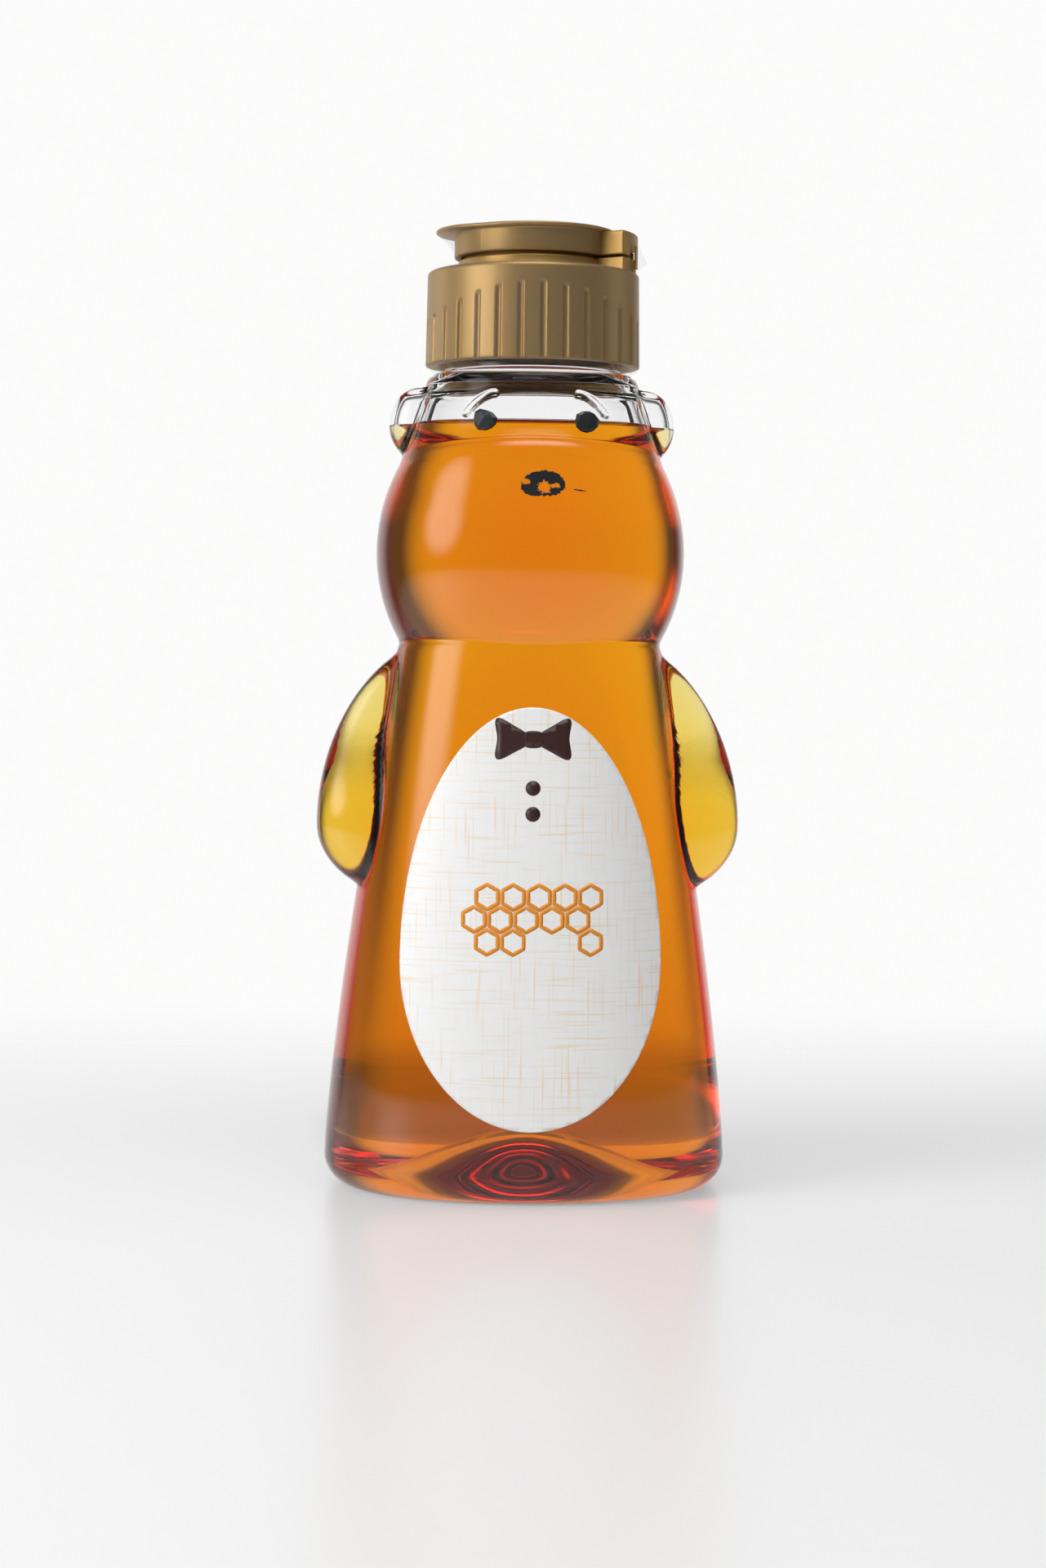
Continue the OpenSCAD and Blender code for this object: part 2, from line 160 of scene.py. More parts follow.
# A painted shadow lies on the table close behind the bottle: the table's colour darkens in an oval this wide
# and deep each way.
shade_wide, shade_deep, shade_y = 0.048, 0.09, 0.065
in_shade = wired(tree, "ShaderNodeVectorMath", {
    0: place, 1: (1 / shade_wide, 1 / shade_deep, 0), 2: (0, -shade_y / shade_deep, 0),
}, operation="MULTIPLY_ADD").outputs["Vector"]
shade_edge = wired(tree, "ShaderNodeVectorMath", {0: in_shade}, operation="LENGTH").outputs["Value"]
# The table's white colour, darkened inside the oval by the painted shadow.
white = wired(tree, "ShaderNodeVectorMath", {
    0: (0.87, 0.87, 0.873), "Scale": smooth_step(tree, shade_edge, 0.5, 1.0, 0.3),
}, operation="SCALE")
tree.links.new(white.outputs["Vector"], shader.inputs["Base Color"])
blend = wired(tree, "ShaderNodeMixShader", {
    "Fac": calculate(tree, "MAXIMUM", back_fade, far_fade),
    1: shader.outputs["BSDF"], 2: wired(tree, "ShaderNodeBsdfTransparent").outputs["BSDF"],
})
tree.links.new(blend.outputs["Shader"], tree.nodes["Material Output"].inputs["Surface"])
table.data.materials.append(acrylic)

camera = bpy.data.objects.new("camera", bpy.data.cameras.new("camera"))
bpy.context.collection.objects.link(camera)
bpy.context.scene.camera = camera
camera.data.sensor_fit = "VERTICAL"
camera.data.sensor_height = 24
camera.data.lens = 24 * focal_in_heights
camera.data.shift_x = -0.0040
camera.location = (
    -camera_distance * math.sin(camera_yaw), -camera_distance * math.cos(camera_yaw), axis_height
)
camera.rotation_euler = (math.radians(90) - camera_pitch, camera_roll, -camera_yaw)
bpy.context.scene.view_settings.view_transform = "Standard"
bpy.context.scene.cycles.max_bounces = 24
bpy.context.scene.cycles.transmission_bounces = 24
bpy.context.scene.cycles.transparent_max_bounces = 16
bpy.context.scene.cycles.glossy_bounces = 8

# The bottle: clear PET blown into a bear, one thin wall with hollow ears and arms, a muzzle that
# bulges over a crease, raised eyebrows, and a base pushed up inside its standing ring.
foot_half = (40.4, 30.3)
crease_half = (26.15, 21.0)
head_half = (30.9, 26.0)
fold_half = (26.4, 22.5)
face_half = (21.4, 20.5)
foot_round, crease_z, head_z, fold_z, face_top_z, shoulder_z = 6.0, 108.9, 126.6, 144.3, 159.5, 162.4
head_arc = 35.0
muzzle_out, muzzle_below, muzzle_above = 1.2, 8.0, 2.7
arm_reach, arm_root, arm_z, arm_rise, arm_drop = 42.4, 24.0, 72.5, 35.0, 14.5
ear_reach, ear_root, ear_z, ear_tall, ear_deep = 28.6, 22.6, 152.3, 7.2, 6.5
side_wall, shoulder_wall, base_wall, push_up, stand_width = 1.1, 1.9, 1.5, 10.0, 2.5
fold_rise = 2.4
bore_radius = 15.6


def mix(a, b, t):
    return a + (b - a) * t


def ease(t):
    t = min(1.0, max(0.0, t))
    return t * t * (3 - 2 * t)


def sharp_half(z, side):
    """Half width (side 0) or half depth (side 1) of the bear at a height, without arms and ears."""
    out = 0
    if side:
        over = z - fold_z
        out = muzzle_out * (ease(1 + over / muzzle_below) if over < 0 else 1 - ease(over / muzzle_above))
    if z < crease_z:
        taper = max(0.0, (z - foot_round) / (crease_z - foot_round)) ** 1.3
        inset = foot_round - math.sqrt(foot_round ** 2 - (foot_round - z) ** 2) if z < foot_round else 0
        return mix(foot_half[side], crease_half[side], taper) - inset
    if z < fold_z:
        edge, edge_z = (crease_half, crease_z) if z < head_z else (fold_half, fold_z)
        drop = head_arc - math.sqrt(head_arc ** 2 - (z - head_z) ** 2)
        full = head_arc - math.sqrt(head_arc ** 2 - (edge_z - head_z) ** 2)
        return head_half[side] - (head_half[side] - edge[side]) * drop / full + out
    if z < face_top_z:
        return mix(fold_half[side], face_half[side], (z - fold_z) / (face_top_z - fold_z)) + out
    corner = shoulder_z - face_top_z
    return face_half[side] - corner + math.sqrt(max(0.0, corner ** 2 - (z - face_top_z) ** 2))


def bear_half(z, side):
    """The same, with the crease and the fold rounded as a blow mould rounds them."""
    near = min(abs(z - crease_z), abs(z - fold_z))
    if near > 1.0:
        return sharp_half(z, side)
    return sum(sharp_half(z + d, side) for d in (-0.6, -0.3, 0.0, 0.3, 0.6)) / 5


def roundness(z):
    start = mix(2.3, 2.1, ease((z - crease_z + 1) / 2))
    return mix(start, 2.0, ease((z - fold_z) / (shoulder_z - fold_z)))


def lobe(z, reach, root, middle, up, down, power_up):
    """How far an arm or an ear reaches at a height, 0 where there is none."""
    u = (z - middle) / (down if z < middle else up)
    if abs(u) >= 1:
        return 0.0
    return root + (reach - root) * (1 - u * u) ** (0.5 if z < middle else power_up)


def oval(a, b, power, cosine, sine):
    return ((np.abs(cosine) / a) ** power + (np.abs(sine) / b) ** power) ** (-1 / power)


def soft_max(p, q, width):
    """The larger of two radii, with a soft valley of this width where they cross."""
    return np.maximum(p, q) + np.maximum(width - np.abs(p - q), 0) ** 2 / (4 * width)


def fold_lift(z):
    """How much higher the muzzle's fold runs at the front."""
    return fold_rise * (1 + math.cos(math.pi * (z - fold_z) / 8)) / 2 if abs(z - fold_z) < 8 else 0.0


def wall_at(z):
    return mix(side_wall, shoulder_wall, ease((z - 138) / 20))


def skin_radius(z, inset, cosine, sine):
    """Radius of the blown shape round one ring, drawn in by the inset."""
    radius = oval(bear_half(z, 0) - inset, bear_half(z, 1) - inset, roundness(z), cosine, sine)
    arm = lobe(z, arm_reach, arm_root, arm_z, arm_rise, arm_drop, 0.7)
    if arm:
        deep = mix(6.5, 13.0, ease((95 - z) / 22))
        radius = soft_max(radius, oval(arm - inset, deep - inset, 4, cosine, sine), 1.6)
    ear = lobe(z, ear_reach, ear_root, ear_z, ear_tall, ear_tall, 0.5)
    if ear:
        radius = soft_max(radius, oval(ear - inset, ear_deep - inset, 3, cosine, sine), 1.0)
    return radius


# Points round one ring: closer together at the face and at the tips of arms and ears.
ring_count = 352
fine_turn = np.linspace(0, 2 * math.pi, 3601)
from_front = (fine_turn - 0.5 * math.pi) % (2 * math.pi) - math.pi
density = 0.8 + 0.9 * np.exp(-(from_front / 0.66) ** 4)
density += 1.1 * np.exp(-((np.abs(np.cos(fine_turn)) - 1) / 0.16) ** 4)
share = np.concatenate([[0], np.cumsum((density[1:] + density[:-1]) / 2)])
turn = np.interp(np.arange(ring_count) / ring_count * share[-1], share, fine_turn)
ring_cos, ring_sin = np.cos(turn), np.sin(turn)
front_share = np.maximum(0, -ring_sin) ** 2


def ring_at(radius, z, cosine=ring_cos, sine=ring_sin):
    """Points round the axis, with one radius and height for all or one for each."""
    spread_radius = np.broadcast_to(radius, len(cosine))
    return np.stack([spread_radius * cosine, spread_radius * sine, np.broadcast_to(z, len(cosine))], 1)


def skin_ring(z, inset):
    return ring_at(skin_radius(z, inset, ring_cos, ring_sin), z + fold_lift(z) * front_share)


def base_ring(scale, inset, z):
    return ring_at(scale * oval(foot_half[0] - inset, foot_half[1] - inset, 2.3, ring_cos, ring_sin), z)


def dome_height(scale):
    return push_up * (1 + math.cos(math.pi * scale)) / 2


def placed(name, mesh, smooth):
    """An object at the origin that shows the mesh; smooth(face) says which faces are smooth."""
    for face in mesh.polygons:
        face.use_smooth = smooth(face)
    piece = bpy.data.objects.new(name, mesh)
    bpy.context.collection.objects.link(piece)
    return piece


def new_piece(name, verts, faces, smooth=True):
    """A mesh object from points in millimetres, with its place in its mesh."""
    mesh = bpy.data.meshes.new(name)
    mesh.from_pydata([tuple(v) for v in np.asarray(verts, float) * MM], [], faces)
    mesh.validate()
    shell = bmesh.new()
    shell.from_mesh(mesh)
    bmesh.ops.recalc_face_normals(shell, faces=shell.faces)
    shell.to_mesh(mesh)
    shell.free()
    return placed(name, mesh, lambda face: smooth)


def lofted(name, rings, closed=False):
    """A closed skin over rings of equal count; the first and last ring shrink to a middle point."""
    count = len(rings[0])
    verts = np.concatenate(rings)
    faces = []
    last = len(rings) if closed else len(rings) - 1
    for j in range(last):
        a, b = j * count, ((j + 1) % len(rings)) * count
        for i in range(count):
            k = (i + 1) % count
            faces.append((a + i, a + k, b + k, b + i))
    if not closed:
        verts = np.concatenate([verts, [rings[0].mean(0)], [rings[-1].mean(0)]])
        first, end = len(verts) - 2, len(verts) - 1
        top = (len(rings) - 1) * count
        for i in range(count):
            k = (i + 1) % count
            faces.append((k, i, first))
            faces.append((top + i, top + k, end))
    return new_piece(name, verts, faces)


def spread(start, stop, count):
    return [mix(start, stop, i / count) for i in range(count)]


outer_heights = (
    spread(foot_round, 58, 12) + spread(58, 70, 22) + spread(70, 98, 16) + spread(98, 108, 8)
    + spread(108, 110, 8) + spread(110, 143, 18) + spread(143, 148, 16) + spread(148, 151.8, 6)
    + spread(151.8, 158, 22) + spread(158, shoulder_z - 0.01, 14)
)
inner_heights = (
    spread(foot_round + base_wall, 58, 6) + spread(58, 70, 12) + spread(70, 98, 9) + spread(98, 108, 4)
    + spread(108, 110, 5) + spread(110, 143, 12) + spread(143, 148, 8) + spread(148, 158, 12)
)
dome_scales = [0.03 * k + 0.04 for k in range(33)]
dome_inset = foot_round + stand_width


def outer_rings():
    rings = [base_ring(s, dome_inset, dome_height(s)) for s in dome_scales]
    rings += [skin_ring(foot_round * (1 - math.cos(math.radians(a))), 0) for a in range(0, 90, 9)]
    rings += [skin_ring(z, 0) for z in outer_heights]
    neck = [
        (18.2, 162.42), (17.85, 162.46), (17.68, 162.58), (17.6, 162.78), (17.6, 162.9), (17.6, 163.2),
        (17.6, 171), (17.6, 179.1), (17.6, 179.3), (17.4, 179.8), (17.1, 180), (16.1, 180), (15.75, 179.8),
        (bore_radius, 179.4), (bore_radius, 179.1),
    ]
    return rings + [ring_at(*p) for p in neck]


def wetted_rings(heights, off):
    """Rings up the inner wall, pushed out into the wall by off."""
    rings = [base_ring(s * 0.98, dome_inset, dome_height(s) + base_wall - off) for s in dome_scales]
    rings.append(base_ring(1, dome_inset - 1.2, base_wall + 0.1 - off))
    rings.append(base_ring(1, foot_round - 1.5, base_wall + 0.7 - off))
    rings.append(base_ring(1, 2.4 - off, base_wall + 2.6))
    rings.append(base_ring(1, 1.5 - off, base_wall + 4.4))
    return rings + [skin_ring(z, wall_at(z) - off) for z in heights]


# Each eyebrow runs down and out over its eye: a round ridge this wide and tall, half each way.
brow = [(8.2 + 5.4 * t, 157.1 - 3.8 * t ** 1.8) for t in np.linspace(0, 1, 25)]
brow_wide, brow_tall = 0.75, 0.5
outer = outer_rings()
for ring in outer:
    if 151 < ring[0][2] < 159:
        for k in range(ring_count):
            if ring[k][1] < 0 and 7 < abs(ring[k][0]) < 15:
                away = min(math.hypot(abs(ring[k][0]) - x, ring[k][2] - z) for x, z in brow)
                ring[k][1] -= brow_tall * math.sqrt(max(0.0, 1 - (away / brow_wide) ** 2))
inner = wetted_rings(inner_heights, 0)
mouth = [ring_at(*p) for p in (
    (18.0, 158.6), (17.4, 159.4), (16.6, 160.2), (15.9, 161.0), (15.65, 161.8), (bore_radius, 162.8),
    (bore_radius, 163.2),
)]
bottle = lofted("blown_bottle", outer + mouth[::-1] + inner[::-1])
pet, _, _ = surface_material("clear_pet", {
    "Base Color": (0.99, 0.995, 1.0, 1), "Transmission Weight": 1.0, "Roughness": 0.0, "IOR": 1.54,
    "Specular Tint": (0.6, 0.6, 0.6, 1),
})
bottle.data.materials.append(pet)
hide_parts("bottle")
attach(bottle, "bottle")

# The honey: clear amber, filled to the level of the eyes. It wets the wall, so its skin lies a
# little way inside the plastic, and its colour comes from the depth that light goes through.
honey_z = 150.9
climb = 1.2
into_wall = 0.15
wetted = [z for z in inner_heights if z < honey_z] + [honey_z + climb * up for up in (0.35, 0.75, 1)]
honey_rings = wetted_rings(wetted, into_wall)
for back in (0.05, 0.3, 0.7, 1.2, 1.8, 2.6, 3.6, 5.0, 7.0, 10.0):
    level = honey_z + climb * math.exp(-back / 1.5)
    honey_rings.append(ring_at(skin_radius(honey_z, wall_at(honey_z), ring_cos, ring_sin) - back, level))
honey = lofted("honey_fill", honey_rings)
amber, tree, _ = surface_material("amber_honey", {
    "Base Color": (1, 1, 1, 1), "Transmission Weight": 1.0, "Roughness": 0.0, "IOR": 1.49,
    "Specular Tint": (0, 0, 0, 1),
})
depth = wired(tree, "ShaderNodeVolumeAbsorption", {"Color": (0.979, 0.828, 0.0, 1), "Density": 180.0})
tree.links.new(depth.outputs["Volume"], tree.nodes["Material Output"].inputs["Volume"])
honey.data.materials.append(amber)
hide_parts("honey")
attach(honey, "bottle")
# The lamps for glass light these two pieces alone.
for receivers, state in ((all_but_glass, "EXCLUDE"), (glass_alone, "INCLUDE")):
    for piece in (bottle, honey):
        receivers.objects.link(piece)
    for link in receivers.collection_objects:
        link.light_linking.link_state = state

# The eyes: two drops of thick black paint that stand on the face. Each has dried with a few flat
# facets and a low ridge, and the two differ in outline.
def front_point(x, z, off):
    """A point off the front of the bear, over its skin, at x and z."""

    def skin_y(px, pz):
        level = pz
        for _ in range(5):
            half = bear_half(level, 0)
            level = pz - fold_lift(level) * max(0.0, 1 - (px / half) ** 2)
        half, deep, power = bear_half(level, 0), bear_half(level, 1), roundness(level)
        return -deep * max(0.0, 1 - (abs(px) / half) ** power) ** (1 / power)

    across = (skin_y(x + 0.2, z) - skin_y(x - 0.2, z)) / 0.4
    up = (skin_y(x, z + 0.2) - skin_y(x, z - 0.2)) / 0.4
    size = math.sqrt(across * across + up * up + 1)
    return (x + off * across / size, skin_y(x, z) - off / size, z + off * up / size)


def paint_drop(name, middle, outline, ridge, tall):
    """A faceted drop: its outline and its ridge are points round the middle, in millimetres."""
    count = len(outline)
    rings = []
    for scale, off in ((1.0, -0.12), (0.97, tall * 0.42), (0.74, tall * 0.78)):
        rings.append([front_point(middle[0] + scale * p[0], middle[1] + scale * p[1], off) for p in outline])
    top = [front_point(middle[0] + p[0], middle[1] + p[1], tall) for p in ridge]
    verts = [v for r in rings for v in r] + top
    faces = [tuple(range(count))]
    for j in range(2):
        for i in range(count):
            k = (i + 1) % count
            faces.append((j * count + i, j * count + k, (j + 1) * count + k, (j + 1) * count + i))
    first_top = 3 * count
    near = [min(range(len(ridge)), key=lambda t, p=p: math.dist(ridge[t], p)) for p in outline]
    for i in range(count):
        k = (i + 1) % count
        a, b = 2 * count + i, 2 * count + k
        faces.append((a, b, first_top + near[i]))
        if near[i] != near[k]:
            faces.append((b, first_top + near[k], first_top + near[i]))
    drop = new_piece(name, verts, faces, smooth=False)
    drop.data.materials.append(black_paint)
    return drop


black_paint, _, _ = surface_material(
    "black_paint", {"Base Color": (0.014, 0.015, 0.017, 1), "Roughness": 0.36}
)
left_outline = [
    (-2.2, 0.3), (-2.0, 1.5), (-1.0, 2.15), (0.4, 1.8), (1.4, 1.35), (2.25, 0.3), (2.0, -0.9), (1.1, -1.7),
    (0.0, -2.1), (-1.5, -1.95), (-2.1, -1.0),
]
right_outline = [
    (-2.35, -0.1), (-2.0, 1.3), (-0.9, 1.9), (0.3, 1.95), (1.4, 1.5), (2.45, 0.3), (2.2, -1.0), (1.3, -1.9),
    (0.0, -2.3), (-1.2, -2.0), (-2.1, -1.2),
]
eye_left = paint_drop("eye_left_drop", (-9.8, 151.9), left_outline, [(0.1, 0.5), (-1.2, -1.6)], 0.9)
eye_right = paint_drop("eye_right_drop", (9.8, 151.9), right_outline, [(0.2, 0.2), (0.2, -0.3)], 0.75)
for drop, node in ((eye_left, "eye_left"), (eye_right, "eye_right")):
    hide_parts(node)
    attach(drop, "bottle")

# The nose: a thin brushed oval of the same paint, worn through in a few places, with a small
# smear beside it. It is built from small square cells, so that the wear has real edges.
def painted_cells(name, x_range, z_range, cell, covered):
    """A thin coat of paint on the front skin wherever covered(x, z) is true."""
    columns = int((x_range[1] - x_range[0]) / cell)
    rows = int((z_range[1] - z_range[0]) / cell)
    on = {}
    for i in range(columns):
        for j in range(rows):
            x, z = x_range[0] + (i + 0.5) * cell, z_range[0] + (j + 0.5) * cell
            if covered(x, z):
                on[(i, j)] = True
    verts, faces, index = [], [], {}

    def corner(i, j, up):
        if (i, j, up) not in index:
            index[(i, j, up)] = len(verts)
            verts.append(front_point(x_range[0] + i * cell, z_range[0] + j * cell, 0.05 if up else -0.03))
        return index[(i, j, up)]

    for i, j in on:
        square = ((i, j), (i + 1, j), (i + 1, j + 1), (i, j + 1))
        faces.append([corner(a, b, True) for a, b in square])
        faces.append([corner(a, b, False) for a, b in reversed(square)])
        beside = ((i, j - 1), (i + 1, j), (i, j + 1), (i - 1, j))
        for k, other in enumerate(beside):
            if other not in on:
                (a, b), (c, d) = square[k], square[(k + 1) % 4]
                rim = ((a, b, True), (a, b, False), (c, d, False), (c, d, True))
                faces.append([corner(*p) for p in rim])
    return new_piece(name, verts, faces)


def nose_covered(x, z):
    u, v = x - 1.2, z - 139.6
    ragged = 0.22 * noise.noise(Vector((x * 1.7, z * 1.7, 3.0)))
    ragged += 0.1 * noise.noise(Vector((x * 5, z * 5, 9.0)))
    edge = (abs(u) / 4.25) ** 2.3 + (abs(v - 0.12 * u * (1 if u < 0 else -0.4)) / 2.45) ** 2.1
    if edge > 1 + ragged:
        smear = ((u - 7.1) / 1.25) ** 2 + ((v + 1.25 + 0.12 * (u - 7)) / 0.16) ** 2
        return smear < 1 + 3 * ragged
    spot = noise.noise(Vector((x * 1.3, z * 1.3, 20.0))) * 0.55
    spot += 0.45 * noise.noise(Vector((x * 4, z * 4, 30.0)))
    worn = max(
        1.25 - math.hypot((u - 0.35) / 1.15, (v + 0.75) / 1.15),
        1.2 - math.hypot((u + 3.5) / 0.95, (v - 0.35) / 0.6),
        1.1 - math.hypot((u - 2.3) / 1.1, (v + 0.45) / 0.5),
    )
    return worn < 0.25 - 1.1 * spot


nose = painted_cells("nose_paint", (-3.6, 9.9), (136.6, 142.6), 0.09, nose_covered)
nose.data.materials.append(black_paint)
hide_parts("nose")
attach(nose, "bottle")

# The label: an egg-shaped sticker of white plastic film on the belly. It follows the curve of the
# wall, and its face is printed with faint linen lines, some orange and some grey.
def sticker(name, outlines, low, high, step):
    """A thin sheet over the front skin between two offsets, cut to outlines of (x, z) points."""
    flat = bmesh.new()
    for outline in outlines:
        flat.faces.new([flat.verts.new((x, 0, z)) for x, z in outline])
    for axis in (0, 2):
        values = [v.co[axis] for v in flat.verts]
        place = math.ceil(min(values) / step) * step
        while place < max(values):
            point, normal = [0, 0, 0], [0, 0, 0]
            point[axis], normal[axis] = place, 1
            bmesh.ops.bisect_plane(
                flat, geom=flat.verts[:] + flat.edges[:] + flat.faces[:], plane_co=point, plane_no=normal
            )
            place += step
    upper = bmesh.ops.extrude_face_region(flat, geom=flat.faces[:], use_keep_orig=True)["geom"]
    raised = {v for v in upper if isinstance(v, bmesh.types.BMVert)}
    for v in flat.verts:
        v.co = Vector(front_point(v.co.x, v.co.z, high if v in raised else low)) * MM
    bmesh.ops.recalc_face_normals(flat, faces=flat.faces)
    mesh = bpy.data.meshes.new(name)
    flat.to_mesh(mesh)
    flat.free()
    return placed(name, mesh, lambda face: face.normal.y < -0.3)


label_middle, label_half, label_up, label_down = 47.0, 25.4, 49.4, 32.2
egg = []
for k in range(180):
    a = math.radians(2 * k)
    egg.append((label_half * math.cos(a), label_middle + (label_up if k < 90 else label_down) * math.sin(a)))
label = sticker("belly_label", [egg], 0.02, 0.12, 1.0)
linen, tree, shader = surface_material("linen_print", {"Roughness": 0.42})
place = wired(tree, "ShaderNodeTexCoord").outputs["Object"]
tint = (0.90, 0.90, 0.895, 1)
orange_line, grey_line = (0.87, 0.66, 0.42, 1), (0.86, 0.83, 0.78, 1)
for stretch, seed, starts_at, strength, colour in (
    ((60, 1, 2400), 1.0, 0.60, 0.75, orange_line), ((2400, 1, 60), 5.0, 0.60, 0.75, orange_line),
    ((150, 1, 900), 9.0, 0.56, 0.35, grey_line), ((900, 1, 150), 13.0, 0.56, 0.35, grey_line),
):
    lay = wired(tree, "ShaderNodeMapping", {"Vector": place, "Scale": stretch, "Location": [seed] * 3})
    fibre = wired(tree, "ShaderNodeTexNoise", {"Vector": lay.outputs["Vector"], "Scale": 1.0, "Detail": 1.0})
    pick = wired(tree, "ShaderNodeMapRange", {
        "Value": fibre.outputs["Fac"], "From Min": starts_at, "From Max": 0.72, "To Max": strength,
    })
    feeds = {"Factor": pick.outputs["Result"], "A": tint, "B": colour}
    tint = wired(tree, "ShaderNodeMix", feeds, data_type="RGBA").outputs["Result"]
tree.links.new(tint, shader.inputs["Base Color"])
label.data.materials.append(linen)
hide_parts("label")
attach(label, "bottle")

# The label's print: a plain bow tie over two round buttons in brown ink, and a small honeycomb in
# orange ink lower down, with a few cells left out. The ink lies on the label as a thin coat.
ink_low, ink_high = 0.121, 0.128
brown_ink, _, _ = surface_material("brown_ink", {"Base Color": (0.040, 0.013, 0.011, 1), "Roughness": 0.4})
orange_ink, _, _ = surface_material("orange_ink", {"Base Color": (0.78, 0.27, 0.012, 1), "Roughness": 0.4})


def smooth_loop(points, cuts=6):
    """A closed Catmull-Rom curve through the points."""
    loop = []
    count = len(points)
    for i in range(count):
        p0, p1, p2, p3 = (points[(i + k - 1) % count] for k in range(4))
        for s in range(cuts):
            t = s / cuts
            loop.append(tuple(
                0.5 * (2 * b + (c - a) * t + (2 * a - 5 * b + 4 * c - d) * t * t
                       + (3 * b - a - 3 * c + d) * t ** 3)
                for a, b, c, d in zip(p0, p1, p2, p3)
            ))
    return loop


tie_z = 90.2
wing = [
    (1.0, 0.9), (3.6, 2.6), (6.4, 4.1), (7.4, 3.4), (7.0, 0.2), (7.4, -3.1), (6.4, -3.9), (3.6, -2.5),
    (1.0, -0.9),
]
wings = [smooth_loop([(s * x, tie_z + z) for x, z in wing]) for s in (-1, 1)]
half_knot = [(1.35, 1.5), (1.55, 0), (1.35, -1.5)]
knot = smooth_loop(
    [(-1.35, tie_z + 1.5)] + [(x, tie_z + z) for x, z in half_knot] + [(-1.35, tie_z - 1.5), (-1.55, tie_z)]
)
tie = sticker("bow_tie_print", wings, ink_low, ink_high, 1.5)
tie_knot = sticker("tie_knot_print", [knot], ink_low + 0.008, ink_high + 0.008, 1.5)
button_radius = 1.45
round_points = [(math.cos(math.radians(10 * k)), math.sin(math.radians(10 * k))) for k in range(36)]
button_rings = [[(button_radius * c, z + button_radius * s) for c, s in round_points] for z in (80.8, 75.8)]
buttons = sticker("button_print", button_rings, ink_low, ink_high, 1.5)
for piece in (tie, tie_knot, buttons):
    piece.data.materials.append(brown_ink)
    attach(piece, "bottle")


def node_tree(name, sockets):
    """A geometry node group whose named inputs are (name, socket type, value)."""
    tree = bpy.data.node_groups.new(name, "GeometryNodeTree")
    tree.interface.new_socket("Geometry", in_out="INPUT", socket_type="NodeSocketGeometry")
    for label_text, kind, value in sockets:
        tree.interface.new_socket(label_text, in_out="INPUT", socket_type=kind).default_value = value
    tree.interface.new_socket("Geometry", in_out="OUTPUT", socket_type="NodeSocketGeometry")
    return tree, tree.nodes.new("NodeGroupInput"), tree.nodes.new("NodeGroupOutput")


def grown(name, tree, material, start=None, **values):
    """The plain mesh that the node group makes, with its inputs set by socket identifier."""
    host = start or bpy.data.objects.new(name, bpy.data.meshes.new(name))
    if start is None:
        bpy.context.collection.objects.link(host)
    growth = host.modifiers.new("growth", "NODES")
    growth.node_group = tree
    for item in tree.interface.items_tree:
        if item.in_out == "INPUT" and item.name in values:
            growth[item.identifier] = values[item.name]
    host.update_tag()
    seen = host.evaluated_get(bpy.context.evaluated_depsgraph_get())
    mesh = bpy.data.meshes.new_from_object(seen)
    host.modifiers.clear()
    host.data = mesh
    mesh.name = name
    if not mesh.materials:
        mesh.materials.append(material)
    return host


def end_of_tree(tree, group_out, geometry, material):
    """Ends a node group in Realize Instances and Set Material."""
    realize = wired(tree, "GeometryNodeRealizeInstances", {"Geometry": geometry})
    paint = wired(tree, "GeometryNodeSetMaterial", {
        "Geometry": realize.outputs["Geometry"], "Material": material,
    })
    tree.links.new(paint.outputs["Geometry"], group_out.inputs["Geometry"])


tree, comb_in, comb_out = node_tree("honeycomb", [
    ("Columns", "NodeSocketInt", 5), ("Rows", "NodeSocketInt", 3), ("Pitch", "NodeSocketFloat", 5.0),
    ("Cell Radius", "NodeSocketFloat", 2.4), ("Stroke", "NodeSocketFloat", 0.8),
    ("Missing", "NodeSocketFloat", 0.1), ("Seed", "NodeSocketInt", 4),
])
pitch, columns, rows = (comb_in.outputs[k] for k in ("Pitch", "Columns", "Rows"))
row_pitch = calculate(tree, "MULTIPLY", pitch, 0.866)
grid = wired(tree, "GeometryNodeMeshGrid", {
    "Vertices X": columns, "Vertices Y": rows,
    "Size X": calculate(tree, "MULTIPLY", calculate(tree, "SUBTRACT", columns, 1), pitch),
    "Size Y": calculate(tree, "MULTIPLY", calculate(tree, "SUBTRACT", rows, 1), row_pitch),
})
spot = wired(tree, "GeometryNodeInputPosition").outputs["Position"]
height = wired(tree, "ShaderNodeSeparateXYZ", {"Vector": spot}).outputs["Y"]
row_number = calculate(tree, "ROUND", calculate(tree, "DIVIDE", height, row_pitch))
odd_row = calculate(tree, "MODULO", calculate(tree, "ABSOLUTE", row_number), 2.0)
slide = calculate(tree, "MULTIPLY", calculate(tree, "MULTIPLY", odd_row, pitch), 0.5)
slide_vector = wired(tree, "ShaderNodeCombineXYZ", {"X": slide}).outputs["Vector"]
staggered = wired(tree, "GeometryNodeSetPosition", {"Geometry": grid.outputs["Mesh"], "Offset": slide_vector})
chance = wired(tree, "FunctionNodeRandomValue", {
    "Probability": comb_in.outputs["Missing"], "Seed": comb_in.outputs["Seed"],
}, data_type="BOOLEAN")
thinned = wired(tree, "GeometryNodeDeleteGeometry", {
    "Geometry": staggered.outputs["Geometry"], "Selection": chance.outputs[3],
}, domain="POINT")
hexagon = wired(tree, "GeometryNodeCurvePrimitiveCircle", {
    "Resolution": 6, "Radius": comb_in.outputs["Cell Radius"],
})
upright = wired(tree, "GeometryNodeTransform", {
    "Geometry": hexagon.outputs["Curve"], "Rotation": (0, 0, math.radians(30)),
})
path = wired(tree, "GeometryNodeSubdivideCurve", {"Curve": upright.outputs["Geometry"], "Cuts": 3})
